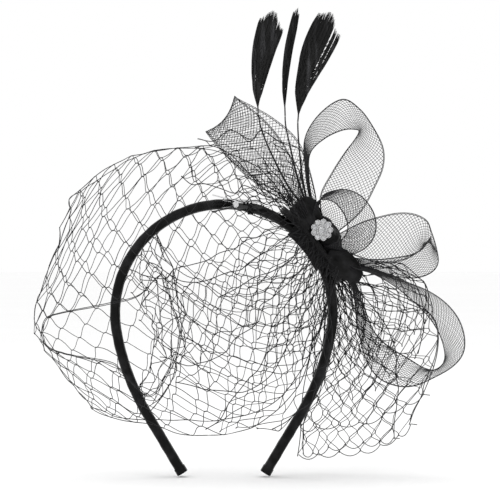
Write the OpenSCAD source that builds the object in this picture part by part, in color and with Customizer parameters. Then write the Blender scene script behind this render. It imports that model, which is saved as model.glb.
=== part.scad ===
// Fascinator headpiece on a satin-covered headband: a domed base with crin loops, feathers,
// a brooch and a bubble of veil netting, and a sprung alligator clip strapped to the band.
// The origin is the centre of the headband's arc. +X is the trimmed side, +Y the back, +Z up.

/* [Headband] */
// Radius of the middle of the band round the top of the head
band_r = 66.8; // [66:0.1:68]
// Width of the band, front to back
band_w = 10; // [9.5:0.1:10.2]
// Thickness of the padded band
band_t = 6.4; // [6:0.1:6.6]
// Radius of the gentler curve down each side
flare_r = 150; // [130:1:180]
// Length of each straight leg
leg_len = 40; // [30:1:48]

/* [Base] */
// Angle of the base above the horizontal, on the trimmed side
base_angle = 38; // [37:0.5:39]
// Length of the oval base along the band
base_len = 56; // [50:1:57]
// Width of the oval base, front to back
base_w = 34; // [32:1:35]
// Radius of the base's dome
dome_r = 90; // [80:1:110]
// Radius of the padded knot on the base
knot_r = 14; // [13:0.5:14]

/* [Clip] */
// Outer width of the clip
clip_w = 6; // [5.6:0.1:6.2]
// Radius of the hinge pin
pin_r = 0.8; // [0.7:0.05:0.9]
// Slope of the clip below the horizontal
clip_slope = 2; // [1:0.5:3]

/* [Brooch] */
// Number of stones round the centre stone
petals = 9; // [7:1:10]
// Radius of the brooch's back plate
plate_r = 6.6; // [6.2:0.1:7]

/* [Trims] */
// Thickness of the crin braid's solid
crin_t = 0.5; // [0.4:0.1:0.6]
// Thickness of the netting's solid
net_t = 0.8; // [0.6:0.1:0.9]
// Radius of a quill where it leaves the binding
quill_r = 0.8; // [0.6:0.1:0.9]

/* [Hidden] */
$fn = 64;

// How far round the band the tight arc runs below the horizontal, and where the flare ends.
arc_end = 10;
flare_end = 31;
core_w = 7;
core_t = 1.6;
satin_t = 0.4;
slack = 0.05;

// The base sits this far out from the arc's centre.
seat_r = band_r + band_t / 2 + 0.15;
felt_top = 1.2;
buckram_top = 2.65;
base_top = 3.4;
rim_t = 0.7;

// The clip's pivot, in front of the band.
pivot = [7.2, -band_w / 2 - 0.9 - clip_w / 2, 66.4];
clip_wall = 0.6;
tooth_pitch = 2.2;
tooth_r = 0.7;

brooch_at = [59.6, -18.4, 50.9];
petal_ring = 4.9;
petal_r = 1.55;
centre_r = 2.5;
cup_wall = 0.3;

// Each crin loop as the two edges of its braid: first the edge at the back, then the one in front.
loop_a = [
  [[57, -5, 58], [55.5, -9, 75], [46.5, -13, 103], [30, -13, 119], [9, -7, 131], [7, 0, 133],
   [11, 8, 130], [24, 13, 120], [35, 13, 107], [43, 12, 92], [48, 9, 74], [53, 5, 58]],
  [[50, -6, 59], [37, -11, 71], [20, -13, 81], [4, -13, 94], [-9, -7, 109], [-11, 0, 111],
   [-7, 8, 106], [1, 13, 97], [12, 13, 86], [25, 13, 76], [39, 10, 68], [50, 6, 59]]
];
loop_b = [
  [[56, 6, 59], [52, 10, 74], [50, 14, 90], [50, 15, 108], [59, 14, 123], [73, 11, 132], [84, 12, 126],
   [92, 10, 115], [98, 5, 102], [98, 2, 90], [92, 0, 78], [82, 1, 66], [66, 2, 54]],
  [[58, -5, 58], [54, -8, 70], [52, -11, 84], [53, -9, 98], [62, -5, 107], [73, -6, 112], [81, -11, 112],
   [82, -14, 110], [79, -14, 105], [73, -12, 97], [66, -10, 86], [59, -8, 72], [60, -6, 58]]
];
loop_c = [
  [[56, -9, 57], [60, -8, 71], [67, -7, 75], [76, -6, 75.5], [85, -5, 71], [92, -5, 61],
   [93, -5, 50], [88, -6, 41], [79, -7, 36.5], [67, -9, 38]],
  [[53, -14, 55], [56, -24, 67], [61, -29, 69], [67, -31, 67], [72, -32, 61], [74.5, -32, 54],
   [74, -31, 49], [71, -29, 45], [65, -25, 42], [60, -14, 41]]
];
loop_d = [
  [[66, 2, 46], [83, 3, 55], [95, 6, 59], [107, 8, 61.5], [117, 8, 61], [125, 8, 57], [128, 7, 50],
   [131, 6, 40], [132, 5, 31], [128, 4, 25], [119, 4, 21.5], [108, 3, 22], [96, 1, 24], [82, 0, 30], [67, 2, 38]],
  [[66, -8, 44], [82, -14, 41], [95, -17, 37.5], [107, -18, 38.5], [116, -19, 42], [122, -20, 46],
   [125, -20, 48], [124, -20, 45], [120, -20, 40], [114, -20, 35.5], [107, -19, 32.5], [100, -18, 30.5],
   [91, -15, 30.5], [80, -10, 33], [67, -7, 37]]
];
loop_e = [
  [[67, 5, 37], [80, 8, 31], [96, 9, 26], [113, 9, 19], [127, 9, 13], [137.5, 9, 5.5], [145, 9, -4],
   [148.5, 8, -15], [147.5, 6, -25], [141, 4, -33], [129, 3, -40], [117, 3, -45], [106, 4, -45],
   [95, 5, -40], [87, 5, -28], [82, 5, -7], [79, 5, 14], [70, 4, 32]],
  [[68, -5, 36], [79, -16, 28], [91, -17, 24], [104, -17, 16.5], [115, -17, 7.5], [124, -17, -1.5],
   [130, -17, -10.5], [133.5, -17, -20], [134, -16, -28], [130, -14, -34], [122, -12, -33], [112, -11, -27],
   [102, -10, -21], [94, -9, -14], [89, -8, -5], [85, -7, 7], [80, -5, 20], [71, -4, 33]]
];

// The two satin leaves, edge and edge.
leaf_upper = [
  [[60, -11.5, 60], [54, -14, 71], [47, -14, 73], [41, -12, 66]],
  [[53, -15, 52], [47.5, -17, 57], [43, -16, 60], [40, -13, 62]]
];
leaf_lower = [
  [[67, -10, 41], [74.5, -12, 38.5], [81, -12, 32.5], [85, -9, 24.5]],
  [[65, -14, 39], [70, -17, 31], [76, -16, 24], [83, -11, 20]]
];

// Half of the veil, from its gather in front of the base to the fold on the far side, as ribs
// across its width from the lower edge to the upper one. The back half mirrors it.
veil_ribs = [
  [[67, -18.6, 27], [47, -33, -38], [6, -40, -68], [-48, -32, -63], [-79, 0, -54]],
  [[60, -18.6, 37], [34, -41, -8], [-16, -48, -26], [-72, -36, -30], [-103, 0, -28]],
  [[53, -18.6, 46], [14, -43, 28], [-36, -50, 20], [-88, -36, 4], [-115, 0, -5]],
  [[47, -18.6, 54], [8, -38, 66], [-38, -45, 64], [-84, -34, 48], [-106, 0, 28]],
  [[42, -18.6, 61], [22, -28, 92], [-22, -32, 101], [-64, -24, 91], [-92, 0, 70]]
];
veil_back_depth = 0.85;

// The veil's tail, from the base down to its hem, as ribs from the left to the right.
tail_ribs = [
  [[66, 21, 30], [62, 20, 4], [56, 16, -26], [51, 14, -58], [48, 14, -86]],
  [[67.5, 21.5, 28.5], [70, 23, -2], [70, 22, -30], [68, 22, -60], [66, 22, -85]],
  [[69, 22, 26.5], [80, 19.5, -4], [86, 17, -32], [87, 15, -59], [86, 14, -82]],
  [[71, 22, 24], [90, 22.5, 4], [104, 22, -20], [108, 21, -46], [104, 20, -76]],
  [[72, 22, 22], [99, 18, 15], [127, 15, 0], [130, 13, -24], [115, 12, -66]]
];

// The quills' routes from the knot up to the plumes.
quill_routes = [
  [[53.5, 0, 57.5], [49.5, 0, 65], [40, 0, 77], [29, 0, 98], [23, 0, 113], [21, 0, 122]],
  [[54.5, 1.9, 58], [51, 1.8, 66], [45, 2, 84], [40.5, 2, 103], [38, 3, 115], [37.6, 3, 121]],
  [[54, -1.9, 58], [51.5, -1.8, 66], [48, -2, 84], [46, -3, 103], [45.4, -3, 112], [45.3, -3, 117]]
];
// Each plume's centreline, and its half width at the same places.
plume_routes = [
  [[21, 0, 122.2], [20.8, 0, 136], [22.5, -1, 150], [25, -2, 163], [28.5, -2, 175], [32, 0, 184]],
  [[37.6, 3, 121.2], [37.4, 3, 140], [39.5, 3, 160], [42.5, 2, 175], [45.3, 1, 188.5]],
  [[45.3, -3, 117.2], [47, -3, 133], [51.5, -3, 147], [57, -4, 161], [63, -5, 173], [67.5, -5, 181]]
];
plume_widths = [[0.7, 3.2, 5.5, 6.6, 6.2, 2.6], [0.6, 1.8, 2.6, 2.8, 0.8], [0.7, 3, 5.4, 7, 7.4, 3.4]];
plume_t = 0.9;

function unit(v) = v / norm(v);

// A smooth curve through the points p, with s counted in points.
function spline(p, s) =
  let (
    n = len(p) - 1,
    i = min(floor(s), n - 1),
    u = s - i,
    a = p[max(i - 1, 0)],
    b = p[i],
    c = p[i + 1],
    d = p[min(i + 2, n)]
  )
  b + (c - a) * u / 2 + (2 * a - 5 * b + 4 * c - d) * u * u / 2 + (3 * b - a - 3 * c + d) * u * u * u / 2;

function resample(p, steps) = [for (k = [0:steps]) spline(p, k / steps * (len(p) - 1))];

// A grid of points on the surface through the ribs, along steps by across steps.
function surface_grid(ribs, along, across) =
  let (long = [for (r = ribs) resample(r, along)])
  [for (i = [0:along]) resample([for (r = long) r[i]], across)];

function reversed(list) = [for (k = [len(list) - 1:-1:0]) list[k]];

function grid_normal(g, i, j) =
  let (m = len(g) - 1, n = len(g[0]) - 1)
  unit(cross(
    g[min(i + 1, m)][j] - g[max(i - 1, 0)][j],
    g[i][min(j + 1, n)] - g[i][max(j - 1, 0)]
  ));

// The veil's whole ribs: the front half, then the same half mirrored to the back.
function whole_rib(r) =
  concat(r, [for (k = [len(r) - 2:-1:0]) [r[k].x, -r[k].y * (k == 0 ? 1 : veil_back_depth), r[k].z]]);

// A thin closed sheet of thickness t round a grid of points.
module sheet(g, t) {
  m = len(g);
  n = len(g[0]);
  size = m * n;
  skin = [for (side = [0.5, -0.5], i = [0:m - 1], j = [0:n - 1]) g[i][j] + side * t * grid_normal(g, i, j)];
  function at(i, j) = i * n + j;
  function two(a, b, c, d) = [[a, b, c], [a, c, d]];
  top = [for (i = [0:m - 2], j = [0:n - 2]) each two(at(i, j), at(i, j + 1), at(i + 1, j + 1), at(i + 1, j))];
  bottom = [for (f = top) [size + f[2], size + f[1], size + f[0]]];
  start = [for (j = [0:n - 2]) each two(at(0, j + 1), at(0, j), size + at(0, j), size + at(0, j + 1))];
  end = [for (j = [0:n - 2]) each two(at(m - 1, j), at(m - 1, j + 1), size + at(m - 1, j + 1), size + at(m - 1, j))];
  near = [for (i = [0:m - 2]) each two(at(i, 0), at(i + 1, 0), size + at(i + 1, 0), size + at(i, 0))];
  far = [for (i = [0:m - 2]) each two(at(i + 1, n - 1), at(i, n - 1), size + at(i, n - 1), size + at(i + 1, n - 1))];
  polyhedron(skin, concat(top, bottom, start, end, near, far));
}

// A round tube along a route that lies near the XZ plane, tapering from radius r0 to r1.
module tube(route, r0, r1, sides = 8, steps = 14) {
  path = resample(route, steps);
  function along(i) = unit(path[min(i + 1, steps)] - path[max(i - 1, 0)]);
  function across(i) = unit(cross(along(i), [0, 1, 0]));
  function ring(i) = [for (k = [0:sides - 1]) let (a = 360 * k / sides)
    path[i] + (r0 + (r1 - r0) * i / steps) * (cos(a) * across(i) + sin(a) * cross(along(i), across(i)))];
  walls = [for (i = [0:steps - 1], k = [0:sides - 1]) let (n = (k + 1) % sides)
    each [[i * sides + k, (i + 1) * sides + n, i * sides + n], [i * sides + k, (i + 1) * sides + k, (i + 1) * sides + n]]];
  first = [for (k = [0:sides - 1]) k];
  last = [for (k = [sides - 1:-1:0]) steps * sides + k];
  polyhedron([for (i = [0:steps]) each ring(i)], concat(walls, [first], [last]));
}

// The band's cross-section: t across the band's thickness, w across its width, with round edges.
module stadium(t, w) {
  square([t, w - t], center = true);
  for (side = [-1, 1])
    translate([0, side * (w - t) / 2]) circle(t / 2);
}

// Puts children at the end of one leg, +Z running up the leg towards the arc.
module at_leg_end(side) {
  flare_centre = (band_r - flare_r) * [cos(arc_end), 0, -sin(arc_end)];
  mirror([side < 0 ? 1 : 0, 0, 0])
    translate(flare_centre + flare_r * [cos(flare_end), 0, -sin(flare_end)])
      rotate([0, flare_end, 0])
        translate([0, 0, -leg_len]) children();
}

// The band's middle line as stations, each a place in the XZ plane and its outward direction.
function flare_station(a) =
  [(band_r - flare_r) * [cos(arc_end), -sin(arc_end)] + flare_r * [cos(a), -sin(a)], [cos(a), -sin(a)]];
function leg_end_station() =
  let (s = flare_station(flare_end)) [s[0] - leg_len * [sin(flare_end), cos(flare_end)], s[1]];
function mirrored(s) = [[-s[0].x, s[0].y], [-s[1].x, s[1].y]];
flare_steps = 4;
arc_steps = 34;
right_side = concat(
  [leg_end_station()],
  [for (k = [0:flare_steps - 1]) flare_station(flare_end + (arc_end - flare_end) * k / flare_steps)]
);
stations = concat(
  right_side,
  [for (k = [0:arc_steps]) let (a = -arc_end + (180 + 2 * arc_end) * k / arc_steps)
    [band_r * [cos(a), sin(a)], [cos(a), sin(a)]]],
  [for (k = [len(right_side) - 1:-1:0]) mirrored(right_side[k])]
);

// The band's cross-section as points: t across its thickness, w across its width.
section_sides = 16;
function section(t, w) =
  let (r = t / 2 / cos(180 / section_sides))
  [for (k = [0:section_sides - 1]) let (a = 360 * (k + 0.5) / section_sides)
    [r * cos(a), r * sin(a) + (w - t) / 2 * sign(sin(a))]];

function band_skin(points) =
  [for (s = stations, p = points) [s[0].x + p.x * s[1].x, p.y, s[0].y + p.x * s[1].y]];

function band_walls(first) =
  [for (i = [0:len(stations) - 2], k = [0:section_sides - 1])
    let (n = (k + 1) % section_sides, a = first + i * section_sides, b = a + section_sides)
    each [[a + k, a + n, b + n], [a + k, b + n, b + k]]];

// A solid bar, or a hollow sleeve when inner is given, along the whole band.
module band_sweep(outer, inner = []) {
  count = len(stations) * section_sides;
  last = count - section_sides;
  hollow = len(inner) > 0;
  start_ring = [for (k = [0:section_sides - 1]) let (n = (k + 1) % section_sides)
    each [[k, count + n, n], [k, count + k, count + n]]];
  end_ring = [for (k = [0:section_sides - 1]) let (n = (k + 1) % section_sides)
    each [[last + k, last + n, last + count + n], [last + k, last + count + n, last + count + k]]];
  start_cap = [[for (k = [section_sides - 1:-1:0]) k]];
  end_cap = [[for (k = [0:section_sides - 1]) last + k]];
  bore = hollow ? [for (f = band_walls(count)) [f[2], f[1], f[0]]] : [];
  ends = hollow ? concat(start_ring, end_ring) : concat(start_cap, end_cap);
  polyhedron(concat(band_skin(outer), hollow ? band_skin(inner) : []), concat(band_walls(0), bore, ends));
}

module headband_core() {
  color("dimgray") band_sweep(section(core_t, core_w));
}

module headband_padding() {
  outer = section(band_t - 2 * satin_t - 2 * slack, band_w - 2 * satin_t - 2 * slack);
  color("gray") band_sweep(outer, section(core_t + 2 * slack, core_w + 2 * slack));
}

module headband_cover() {
  inner = section(band_t - 2 * satin_t, band_w - 2 * satin_t);
  color("black") band_sweep(section(band_t, band_w), inner);
}

// A rounded pocket of satin folded over one end of the band.
module tip_fold(side) {
  fold_t = 0.5;
  reach = 3;
  beyond = 1.4;
  color("black") at_leg_end(side) difference() {
    intersection() {
      translate([0, 0, -beyond]) linear_extrude(reach + beyond) stadium(band_t + fold_t, band_w + fold_t);
      translate([0, 0, 1]) sphere(6);
    }
    linear_extrude(reach + 1) stadium(band_t + 3 * slack, band_w + 3 * slack);
  }
}

// Puts children on the base: +Z out from the head, +X along the band towards the trimmed end.
module on_base() {
  rotate([0, 90 - base_angle, 0]) children();
}

// A ball whose top is h above the underside of the base.
module dome_ball(h) {
  translate([0, 0, seat_r - dome_r]) sphere(dome_r + h, $fn = 128);
}

module oval_prism(grow) {
  w = base_w + 2 * grow;
  translate([0, 0, seat_r - 12]) linear_extrude(20) {
    square([base_len - base_w, w], center = true);
    for (side = [-1, 1])
      translate([side * (base_len - base_w) / 2, 0]) circle(w / 2);
  }
}

module base_layer(low, high) {
  on_base() difference() {
    intersection() {
      dome_ball(high);
      oval_prism(0);
    }
    dome_ball(low);
  }
}

module base_felt() {
  color("black") base_layer(0, felt_top);
}

module base_buckram() {
  color("dimgray") base_layer(felt_top + slack, buckram_top);
}

// Satin over the blank and down round its rim.
module base_satin() {
  color("black") on_base() difference() {
    intersection() {
      dome_ball(base_top);
      oval_prism(rim_t + slack);
    }
    dome_ball(0);
    intersection() {
      dome_ball(buckram_top + slack);
      oval_prism(slack);
    }
  }
}

saddle_angle = 13;
saddle_w = 13.6;
saddle_wall = 1.7;

// Felt strip round the inside of the band, its two walls reaching up to the lining.
module band_saddle() {
  color("black") rotate([90, 0, 0])
    rotate_extrude(angle = 2 * saddle_angle, start = base_angle - saddle_angle)
      difference() {
        translate([band_r - band_t / 2 - saddle_wall, -saddle_w / 2])
          square([band_t + saddle_wall - 0.3, saddle_w]);
        translate([band_r, 0]) stadium(band_t + 0.3, band_w + 0.3);
        translate([band_r, -band_w / 2 - 0.15]) square([band_t, band_w + 0.3]);
      }
}

module saddle_stitches() {
  thread_r = 0.3;
  color("black") for (side = [-1, 1], k = [-2:2])
    rotate([0, 90 - base_angle + 5 * k, 0])
      translate([0, side * (saddle_w / 2 - 0.8), seat_r - 2]) cylinder(r = thread_r, h = 2.6);
}

module satin_knot() {
  color("black") on_base() difference() {
    translate([0, 0, seat_r + base_top - 0.4]) sphere(knot_r);
    dome_ball(base_top + slack);
  }
}

module satin_leaf_upper() {
  color("black") sheet(surface_grid(leaf_upper, 12, 2), 0.8);
}

module satin_leaf_lower() {
  color("black") sheet(surface_grid(leaf_lower, 12, 2), 0.8);
}

// Puts children at the clip's pivot: +X along the jaws to their tips.
module at_clip() {
  translate(pivot) rotate([0, clip_slope, 0]) children();
}

// A plate seen from the side, w wide about the clip's middle.
module side_plate(outline, w) {
  rotate([90, 0, 0]) translate([0, 0, -w / 2]) linear_extrude(w) polygon(outline);
}

module cross_rod(r, w) {
  rotate([90, 0, 0]) cylinder(r = r, h = w, center = true);
}

// Row of half-round notches that leaves teeth along a jaw's edge.
module teeth_notches(z, w) {
  for (k = [0:5])
    translate([5.2 + k * tooth_pitch, 0, z]) cross_rod(tooth_r, w + 1);
}

ear_r = 1.9;
lower_w = clip_w - 2 * clip_wall - 0.3;

// The fixed jaw: a channel open upwards, with a handle and two ears on the pin.
module clip_lower_jaw() {
  inside_w = lower_w - 2 * clip_wall;
  color("silver") at_clip() difference() {
    union() {
      side_plate([[-3, -2.6], [15, -2.2], [17.6, -0.4], [17.6, 0.4], [2, 0.4], [-3, -0.6]], lower_w);
      side_plate([[-14.5, -5.2], [-2.8, -2.6], [-2.8, -1.9], [-14.5, -4.5]], lower_w);
      cross_rod(ear_r, lower_w);
    }
    side_plate([[-3.4, -1.9], [14.6, -1.6], [16.6, 0], [16.6, 3], [-3.4, 3]], inside_w);
    teeth_notches(0.4, lower_w);
    cross_rod(pin_r, clip_w);
  }
}

// The moving jaw: a wider channel open downwards, over the fixed one.
module clip_upper_jaw() {
  inside_w = clip_w - 2 * clip_wall;
  jaw_gap = 1;
  color("silver") at_clip() difference() {
    union() {
      side_plate([[-2.6, 2.7], [-2.2, 3.3], [14, 3.1], [17.8, 1.6], [17.8, jaw_gap], [1.8, jaw_gap]], clip_w);
      side_plate([[-14.3, 5.8], [-2.4, 3.3], [-2.6, 2.6], [-14.3, 5.1]], clip_w);
      cross_rod(ear_r, clip_w);
    }
    side_plate([[-3, -3], [17, -3], [17, 1.3], [13.6, 2.4], [-3, 2.6]], inside_w);
    teeth_notches(jaw_gap, clip_w);
    cross_rod(pin_r + slack, clip_w + 1);
  }
}

module clip_pin() {
  color("silver") at_clip() {
    cross_rod(pin_r, clip_w + 0.4);
    for (side = [-1, 1])
      translate([0, side * (clip_w / 2 + 0.35), 0]) cross_rod(1.2, 0.4);
  }
}

// Torsion spring: three coils round the pin, and a leg along each handle.
module clip_spring() {
  wire_r = 0.25;
  coil_r = 1.2;
  color("gray") at_clip() {
    for (k = [-1:1])
      translate([0, k * 0.45, 0]) rotate([90, 0, 0])
        rotate_extrude() translate([coil_r, 0]) circle(wire_r, $fn = 24);
    for (side = [-1, 1])
      translate([0, side * 0.45, side * coil_r])
        rotate([0, -90 + side * 8, 0]) cylinder(r = wire_r, h = 8, $fn = 24);
  }
}

// Satin strap round the band and the fixed jaw, seen along the jaws as a stepped ring.
module clip_strap() {
  start = 7.5;
  strap_w = 3.5;
  wall = 0.4;
  top = 2.6;
  bottom = -5.2;
  band_front = -band_w / 2 - pivot.y - 0.15;
  inner = [
    [-lower_w / 2 - 0.15, -2.8], [-lower_w / 2 - 0.15, 0.5], [band_front, 0.5], [band_front, top],
    [band_front + band_w + 0.3, top], [band_front + band_w + 0.3, bottom], [band_front, bottom],
    [band_front, -2.8]
  ];
  outer = [
    [-lower_w / 2 - 0.15 - wall, -2.8 - wall], [-lower_w / 2 - 0.15 - wall, 0.9], [band_front - wall, 0.9],
    [band_front - wall, top + wall], [band_front + band_w + 0.3 + wall, top + wall],
    [band_front + band_w + 0.3 + wall, bottom - wall], [band_front - wall, bottom - wall],
    [band_front - wall, -2.8 - wall]
  ];
  color("black") at_clip()
    translate([start, 0, 0]) rotate([90, 0, 90]) linear_extrude(strap_w) difference() {
      polygon(outer);
      polygon(inner);
    }
}

// Puts children on the brooch, +Z towards the front.
module on_brooch() {
  translate(brooch_at) rotate([90, 0, 0]) children();
}

module around_brooch() {
  for (k = [0:petals - 1])
    rotate([0, 0, 360 * k / petals]) translate([petal_ring, 0, 0]) children();
}

plate_t = 0.8;
cup_h = 0.9;

module brooch_plate() {
  color("silver") on_brooch() cylinder(r = plate_r, h = plate_t);
}

// An open cup that holds one stone.
module cup(r) {
  difference() {
    cylinder(r = r + cup_wall, h = cup_h);
    translate([0, 0, 0.3]) cylinder(r = r - 0.1, h = cup_h);
  }
}

module brooch_cups() {
  color("silver") on_brooch() translate([0, 0, plate_t]) {
    translate([0, 0, 0.5]) cup(centre_r);
    cylinder(r = centre_r - 0.4, h = 0.5);
    around_brooch() cup(petal_r);
  }
}

// A cut stone: a low girdle under a sloping crown with a flat table.
module stone(r) {
  cylinder(r = r - 0.15, h = 0.7);
  translate([0, 0, 0.7]) cylinder(r1 = r - 0.15, r2 = r * 0.55, h = r * 0.4);
}

module brooch_centre_stone() {
  color("white") on_brooch() translate([0, 0, plate_t + 0.5 + 0.35]) stone(centre_r);
}

module brooch_petal_stones() {
  color("white") on_brooch() around_brooch() translate([0, 0, plate_t + 0.35]) stone(petal_r);
}

module brooch_shank() {
  color("silver") on_brooch() mirror([0, 0, 1]) cylinder(r = 1.2, h = 6.8);
}

module crin_loop_a() {
  color("dimgray") sheet(surface_grid(loop_a, 44, 1), crin_t);
}

module crin_loop_b() {
  color("dimgray") sheet(surface_grid(loop_b, 48, 1), crin_t);
}

module crin_loop_c() {
  color("dimgray") sheet(surface_grid(loop_c, 36, 1), crin_t);
}

module crin_loop_d() {
  color("dimgray") sheet(surface_grid(loop_d, 52, 1), crin_t);
}

module crin_loop_e() {
  color("dimgray") sheet(surface_grid(loop_e, 60, 1), crin_t);
}

// Threads over the loops' ends, round the front of the knot.
module crin_stitches() {
  thread_r = 0.35;
  color("black") on_base() translate([0, 0, seat_r + base_top - 0.4])
    for (k = [0:7])
      rotate([20, 0, 45 * k]) translate([knot_r + 0.2, 0, 2]) rotate([0, 12, 0])
        cylinder(r = thread_r, h = 4.5, center = true, $fn = 24);
}

module quill(k) {
  color("black") tube(quill_routes[k], quill_r, quill_r * 0.6);
}

// A plume as a thin leaf about its centreline.
module vane(k) {
  route = plume_routes[k];
  n = len(route) - 1;
  function sideways(i) = unit(cross(route[min(i + 1, n)] - route[max(i - 1, 0)], [0, 1, 0]));
  ribs = [for (side = [-1, 0, 1]) [for (i = [0:n]) route[i] + side * plume_widths[k][i] * sideways(i)]];
  color("black") sheet(surface_grid(ribs, 16, 4), plume_t);
}

// Thread wound round the three quills just above the knot.
module feather_binding() {
  color("black") translate([50.6, 0, 65.5]) rotate([0, -25, 0])
    difference() {
      cylinder(r = 3.6, h = 3, center = true);
      cylinder(r = 2.9, h = 4, center = true);
    }
}

module veil_main() {
  color("black") sheet(surface_grid([for (r = veil_ribs) whole_rib(r)], 56, 14), net_t);
}

module veil_tail() {
  color("black") sheet(surface_grid([for (r = tail_ribs) reversed(r)], 16, 10), net_t);
}

// Gathering threads along the veil's two gathered edges, in front of the base and behind it.
module veil_stitches() {
  thread_r = 0.5;
  color("black") for (side = [-1, 1])
    tube([for (r = veil_ribs) [r[0].x, side * 19.5, r[0].z]], thread_r, thread_r, 8, 8);
}

headband_core();
headband_padding();
headband_cover();
tip_fold(-1);  // tip_fold_left
tip_fold(1);  // tip_fold_right
base_buckram();
base_satin();
base_felt();
band_saddle();
saddle_stitches();
satin_knot();
satin_leaf_upper();
satin_leaf_lower();
clip_lower_jaw();
clip_upper_jaw();
clip_pin();
clip_spring();
clip_strap();
brooch_plate();
brooch_cups();
brooch_centre_stone();
brooch_petal_stones();
brooch_shank();
crin_loop_a();
crin_loop_b();
crin_loop_c();
crin_loop_d();
crin_loop_e();
crin_stitches();
quill(0);  // quill_1
quill(1);  // quill_2
quill(2);  // quill_3
vane(0);  // vane_1
vane(1);  // vane_2
vane(2);  // vane_3
feather_binding();
veil_main();
veil_tail();
veil_stitches();
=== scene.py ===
"""The looks of the fascinator: netting and braid as real strands, satin, feathers, brooch and clip."""

import math

import bpy
import numpy as np
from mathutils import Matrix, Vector


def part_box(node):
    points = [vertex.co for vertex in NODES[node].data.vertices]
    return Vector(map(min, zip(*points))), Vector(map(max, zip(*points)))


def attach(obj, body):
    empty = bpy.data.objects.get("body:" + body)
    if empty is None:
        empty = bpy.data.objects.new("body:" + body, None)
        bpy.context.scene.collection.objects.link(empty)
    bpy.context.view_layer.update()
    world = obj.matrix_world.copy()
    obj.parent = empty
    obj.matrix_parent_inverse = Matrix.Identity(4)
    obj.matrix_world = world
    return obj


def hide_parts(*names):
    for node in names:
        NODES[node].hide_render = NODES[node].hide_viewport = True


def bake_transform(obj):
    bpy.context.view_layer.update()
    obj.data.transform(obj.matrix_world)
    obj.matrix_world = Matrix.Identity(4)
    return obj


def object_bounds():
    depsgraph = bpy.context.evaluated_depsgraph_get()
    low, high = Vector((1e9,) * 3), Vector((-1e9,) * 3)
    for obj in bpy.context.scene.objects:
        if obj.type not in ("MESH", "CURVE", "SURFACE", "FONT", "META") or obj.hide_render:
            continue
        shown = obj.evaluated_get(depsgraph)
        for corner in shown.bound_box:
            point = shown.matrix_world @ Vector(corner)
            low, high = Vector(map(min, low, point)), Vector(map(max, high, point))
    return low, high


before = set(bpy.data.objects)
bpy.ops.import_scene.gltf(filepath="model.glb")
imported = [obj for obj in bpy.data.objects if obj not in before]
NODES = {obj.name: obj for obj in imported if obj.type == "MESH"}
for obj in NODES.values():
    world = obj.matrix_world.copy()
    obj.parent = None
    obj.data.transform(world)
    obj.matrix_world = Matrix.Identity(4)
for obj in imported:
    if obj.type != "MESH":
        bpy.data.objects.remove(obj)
CAD_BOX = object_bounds()
BODY = "headpiece"
MM = 0.001
TINY = 1e-9

# The height of a crease's wave at which the cloth stays where it was.
CREASE_LEVEL = 0.6

# ---------------------------------------------------------------- sizes, in millimetres

NET_THREAD_R = 0.21
NET_CORD_R = NET_THREAD_R * 1.1
NET_HEM_R = NET_THREAD_R * 1.2
NET_EDGE_R = NET_THREAD_R * 1.3
NET_JOIN_R = NET_THREAD_R * 1.5
NET_KNOT_R = 0.4
NET_TWIST = 0.09

# Half cells of netting across and along, here and wherever cells are given.
VEIL_CELLS = (18, 48)
TAIL_CELLS = (12, 14)

# The crin braid, and where its edge cords lie across it.
CRIN_W = 28
CRIN_PITCH = 2.3
CRIN_STRAND_R = 0.17
CRIN_EDGE_R = 0.2
CRIN_CORDS = (0.0, 0.022, 0.978, 1.0)

# The band's middle line, as in the CAD: a tight arc, a gentler flare and a straight leg each side.
BAND_R = 66.8
BAND_W = 10
BAND_T = 6.4
FLARE_R = 150
ARC_END = 10
FLARE_END = 31
LEG_LEN = 40

# The base: its angle, how far out it sits, its dome and its oval.
BASE_ANGLE = 38
SEAT_R = BAND_R + BAND_T / 2 + 0.15
DOME_R = 90
BASE_TOP = 3.4
BASE_LEN = 57.5
BASE_W = 35.5
KNOT_R = 14

# The clip's pin and the slope of its jaws.
CLIP_PIVOT = [7.2, -8.9, 66.4]
CLIP_SLOPE = 2

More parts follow.
